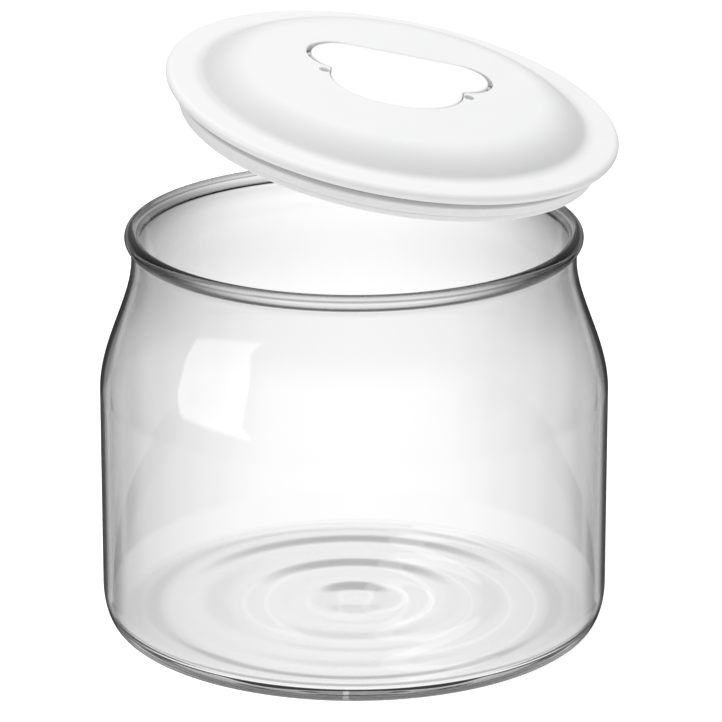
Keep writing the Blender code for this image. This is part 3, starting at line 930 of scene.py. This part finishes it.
def background(tree, strength):
    made = node(tree, "ShaderNodeBackground")
    made.inputs["Color"].default_value = (1.0, 1.0, 1.0, 1.0)
    if isinstance(strength, float):
        made.inputs["Strength"].default_value = strength
    else:
        tree.links.new(strength, made.inputs["Strength"])
    return made.outputs[0]


def choose(tree, share, first, second):
    made = node(tree, "ShaderNodeMixShader")
    for socket, value in zip(made.inputs, (share, first, second)):
        tree.links.new(value, socket)
    return made.outputs[0]


def to_camera(tree, vector):
    """A world direction's parts to the camera's right, up and ahead."""
    turned = node(tree, "ShaderNodeVectorTransform", vector_type="VECTOR")
    turned.convert_from = "WORLD"
    turned.convert_to = "CAMERA"
    if isinstance(vector, tuple):
        turned.inputs[0].default_value = vector
    else:
        tree.links.new(vector, turned.inputs[0])
    return split(tree, turned.outputs[0])


def heading_and_height(tree):
    """A ray's compass angle from the camera's heading, right positive, its angle above the horizon, and
    the angle that it would have above the horizon with the camera at its own pitch."""
    place = node(tree, "ShaderNodeTexCoord")
    right, _, ahead = to_camera(tree, place.outputs["Generated"])
    _, upright, away = to_camera(tree, (0.0, 0.0, 1.0))
    rise = split(tree, place.outputs["Generated"])[2]
    level_ahead = calc(tree, "SUBTRACT", ahead, product(tree, away, rise))
    level_ahead = calc(tree, "DIVIDE", level_ahead, upright)
    heading = calc(tree, "DEGREES", calc(tree, "ARCTAN2", right, level_ahead))
    height = calc(tree, "DEGREES", calc(tree, "ARCSINE", rise))
    pitch = calc(tree, "DEGREES", calc(tree, "ARCSINE", away))
    shift = calc(tree, "ADD", pitch, math.degrees(CAMERA_PITCH))
    return heading, height, calc(tree, "SUBTRACT", height, shift)


def window_glow(tree, heading, height):
    """A bright soft box behind the camera to the left, whose outer edge leans."""
    below = calc(tree, "MINIMUM", calc(tree, "SUBTRACT", height, WINDOW_LEAN_BELOW), 0.0)
    across = calc(tree, "SUBTRACT", heading, product(tree, below, WINDOW_LEAN))
    share = product(tree, inside(tree, across, *WINDOW_SIDES), inside(tree, height, *WINDOW_HEIGHTS))
    return product(tree, share, WINDOW_LIGHT)


def strip_glow(tree, heading, height):
    """A narrow upright strip light just right of straight ahead, above the horizon."""
    share = product(tree, inside(tree, heading, *STRIP_SIDES), inside(tree, height, *STRIP_HEIGHTS))
    return product(tree, share, STRIP_LIGHT)


def studio_world():
    world = bpy.data.worlds.new("studio")
    bpy.context.scene.world = world
    world.use_nodes = True
    world.cycles.sampling_method = "NONE"
    tree = world.node_tree
    tree.nodes.clear()
    heading, true_height, height = heading_and_height(tree)
    path = node(tree, "ShaderNodeLightPath")
    depth = path.outputs["Ray Depth"]
    turn = calc(tree, "ABSOLUTE", heading)
    around = stepped_curve(tree, turn, AROUND)
    outline = calc(tree, "SUBTRACT", stepped_curve(tree, turn, OUTLINE), around)
    single = calc(tree, "ADD", *[calc(tree, "COMPARE", depth, count, 0.1) for count in OUTLINE_DEPTHS])
    glancing = product(tree, single, ramp_between(tree, turn, OUTLINE_END, OUTLINE[-1][0]))
    around = calc(tree, "MULTIPLY_ADD", outline, glancing, around)
    upward = stepped_curve(tree, height, UPWARD)
    behind = ramp_between(tree, turn, *BEHIND_SIDES)
    behind = product(tree, behind, ramp_between(tree, height, *BEHIND_HEIGHTS))
    upward = calc(tree, "MULTIPLY_ADD", rest_of(tree, upward), behind, upward)
    table = ramp_between(tree, height, *TABLE_SPAN)
    room = ramp_between(tree, height, *ROOM_SPAN)
    # The panel and flags fade out of the picture away from the horizon.
    level = rest_of(tree, calc(tree, "MAXIMUM", table, room))
    faded = calc(tree, "MULTIPLY_ADD", calc(tree, "SUBTRACT", around, 1.0), level, 1.0)
    glow = product(tree, faded, upward)
    wandered = calc(tree, "GREATER_THAN", depth, WANDERED_DEPTH)
    quiet = product(tree, wandered, ramp_between(tree, height, *QUIET_SPAN))
    glow = calc(tree, "MULTIPLY_ADD", calc(tree, "SUBTRACT", QUIET_LIGHT, glow), quiet, glow)
    direct = calc(tree, "LESS_THAN", depth, WINDOW_DEPTH)
    glow = calc(tree, "ADD", glow, product(tree, direct, window_glow(tree, heading, true_height)))
    glow = calc(tree, "ADD", glow, strip_glow(tree, heading, true_height))
    seen = choose(tree, path.outputs["Is Diffuse Ray"], background(tree, glow), background(tree, AMBIENT))
    shown = choose(tree, path.outputs["Is Camera Ray"], seen, background(tree, 1.0))
    output = node(tree, "ShaderNodeOutputWorld")
    tree.links.new(shown, output.inputs["Surface"])


def studio_floor():
    rim = STUDIO_FLOOR_RADIUS
    top, bottom = STUDIO_FLOOR_TOP, STUDIO_FLOOR_BOTTOM
    floor = lathe("floor", [(0.0, top), (rim, top), (rim, bottom), (0.0, bottom)], 64)
    floor.visible_glossy = False
    floor.visible_transmission = False
    material, tree, shader = new_material("pale_floor")
    tone = STUDIO_FLOOR_TONE
    shader.inputs["Base Color"].default_value = (tone, tone, tone, 1.0)
    shader.inputs["Roughness"].default_value = 0.9
    shader.inputs["Emission Color"].default_value = (1.0, 1.0, 1.0, 1.0)
    path = node(tree, "ShaderNodeLightPath")
    seen = path.outputs["Is Camera Ray"]
    glow = calc(tree, "MULTIPLY_ADD", seen, STUDIO_FLOOR_SEEN_GLOW, STUDIO_FLOOR_GLOW)
    tree.links.new(glow, shader.inputs["Emission Strength"])
    floor.data.materials.append(material)


def studio_lights():
    lamp = bpy.data.lights.new("key", "AREA")
    lamp.shape = "DISK"
    lamp.size = KEY_SIZE
    lamp.energy = KEY_POWER
    key = bpy.data.objects.new("key", lamp)
    key.location = KEY_PLACE
    key.rotation_euler = (Vector(KEY_AIM) - key.location).to_track_quat("-Z", "Y").to_euler()
    key.visible_glossy = False
    key.visible_transmission = False
    bpy.context.scene.collection.objects.link(key)


def add_camera():
    back = CAMERA_DISTANCE * math.cos(CAMERA_PITCH)
    rise = CAMERA_DISTANCE * math.sin(CAMERA_PITCH)
    lens = bpy.data.cameras.new("camera")
    lens.sensor_width = 36.0
    lens.lens = CAMERA_LENS
    lens.clip_start = 0.05
    camera = bpy.data.objects.new("camera", lens)
    camera.location = (CAMERA_SIDE, -back, CAMERA_AIM_HEIGHT + rise)
    camera.rotation_euler = (math.pi / 2 - CAMERA_PITCH, 0.0, 0.0)
    bpy.context.scene.collection.objects.link(camera)
    bpy.context.scene.camera = camera


# ---------------------------------------------------------------- assembly

def install(piece, material, body, slot, *nodes):
    """Gives a piece its material and lets it stand for its CAD nodes on their body."""
    piece.data.materials.clear()
    piece.data.materials.append(material)
    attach(piece, body)
    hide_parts(*nodes)


satin = {"colour": SATIN_WHITE, "cloud": SATIN_CLOUD, "roughness": 0.34, "grain": 0.000012}
bright = {"colour": BRIGHT_WHITE, "cloud": BRIGHT_CLOUD, "roughness": 0.32, "grain": 0.000010}
# The cover's material carries painted shade in its valley and under its flange.
cover_white_painted_shade = plastic("satin_white_plastic_painted_shade", with_painted_shade=True, **satin)
white = plastic("dish_white_plastic", **satin)
brighter = plastic("handle_white_plastic", **bright)
silicone = silicone_material()
steel = steel_material()
install(make_jar(), glass_material(), "jar", "clear_glass", "glass_jar")
install(make_cover(), cover_white_painted_shade, "lid", "white_plastic", "lid_cover")
install(make_plate(), white, "lid", "white_plastic", "lid_inner_plate")
install(make_seal(), silicone, "lid", "silicone", "seal_ring")
install(make_handle(), brighter, "handle", "handle_plastic", "fold_handle")
left_pin = rod("left_hinge_pin", PIN_RADIUS, -PIN_INNER_X, -PIN_OUTER_X, 48, PIN_CHAMFER)
right_pin = rod("right_hinge_pin", PIN_RADIUS, PIN_INNER_X, PIN_OUTER_X, 48, PIN_CHAMFER)
install(left_pin, steel, "lid", "pin_steel", "hinge_pin_left")
install(right_pin, steel, "lid", "pin_steel", "hinge_pin_right")
studio_world()
studio_floor()
studio_lights()
add_camera()
bpy.context.scene.view_settings.view_transform = "Standard"
